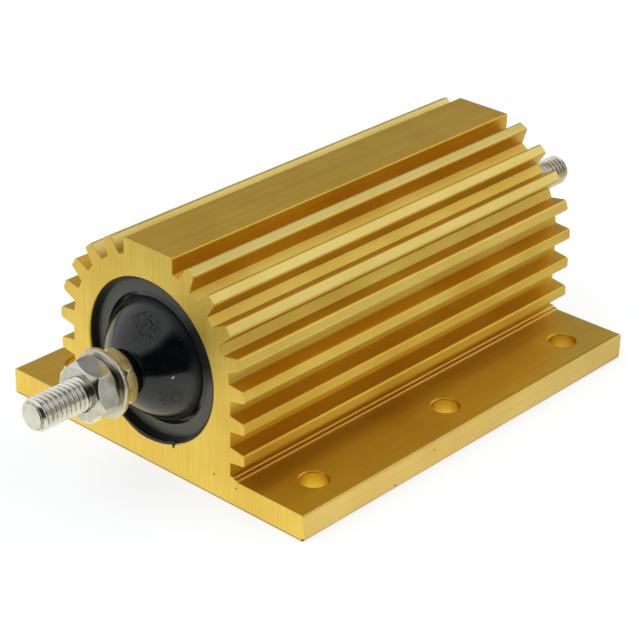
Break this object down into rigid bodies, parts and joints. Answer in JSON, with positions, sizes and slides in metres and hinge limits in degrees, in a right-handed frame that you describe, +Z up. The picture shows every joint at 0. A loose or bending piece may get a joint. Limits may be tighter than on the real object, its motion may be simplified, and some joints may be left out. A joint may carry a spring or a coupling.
{
  "type": "wire-wound resistor",
  "caption": "Aluminium-housed power resistor: finned gold-anodised extrusion with drilled flanges, domed black insulating bushes and a threaded stud terminal at each end.",
  "frame": {"origin": "middle of the housing's flat underside", "axes": "+X along the bore and the two studs, towards the rear end; +Y across the flanges; +Z up, out of the mounting surface"},
  "size_m": [0.1428, 0.0724, 0.0418],
  "materials": {
    "anodised_housing": "gold-anodised extrusion with satin drawn faces and sawn ends",
    "ceramic": "unglazed fired ceramic",
    "resistance_ribbon": "drawn resistance alloy with a dull oxide",
    "filler_moulding": "matt filled moulding compound",
    "cap_steel": "pressed and nickel-plated steel",
    "plated_stud": "rolled thread, bright nickel plate",
    "glossy_bush": "glossy black moulding",
    "seal_moulding": "smooth dark grey moulding",
    "plated_nuts": "bright nickel plate over turned steel",
    "plated_washer": "bright nickel plate over stamped steel"
  },
  "bodies": {
    "root": {"housing": "anodised_housing", "ceramic_core": "ceramic", "resistance_winding": "resistance_ribbon", "insulating_sleeve": "filler_moulding", "core_end_cap_front": "cap_steel", "core_end_cap_rear": "cap_steel", "terminal_stud_front": "plated_stud", "terminal_stud_rear": "plated_stud", "end_bush_front": "glossy_bush", "end_bush_rear": "glossy_bush", "seal_ring_front": "seal_moulding", "seal_ring_rear": "seal_moulding", "inner_nut_front": "plated_nuts", "inner_nut_rear": "plated_nuts", "flat_washer_front": "plated_washer", "flat_washer_rear": "plated_washer", "outer_nut_front": "plated_nuts", "outer_nut_rear": "plated_nuts"}
  },
  "joints": []
}
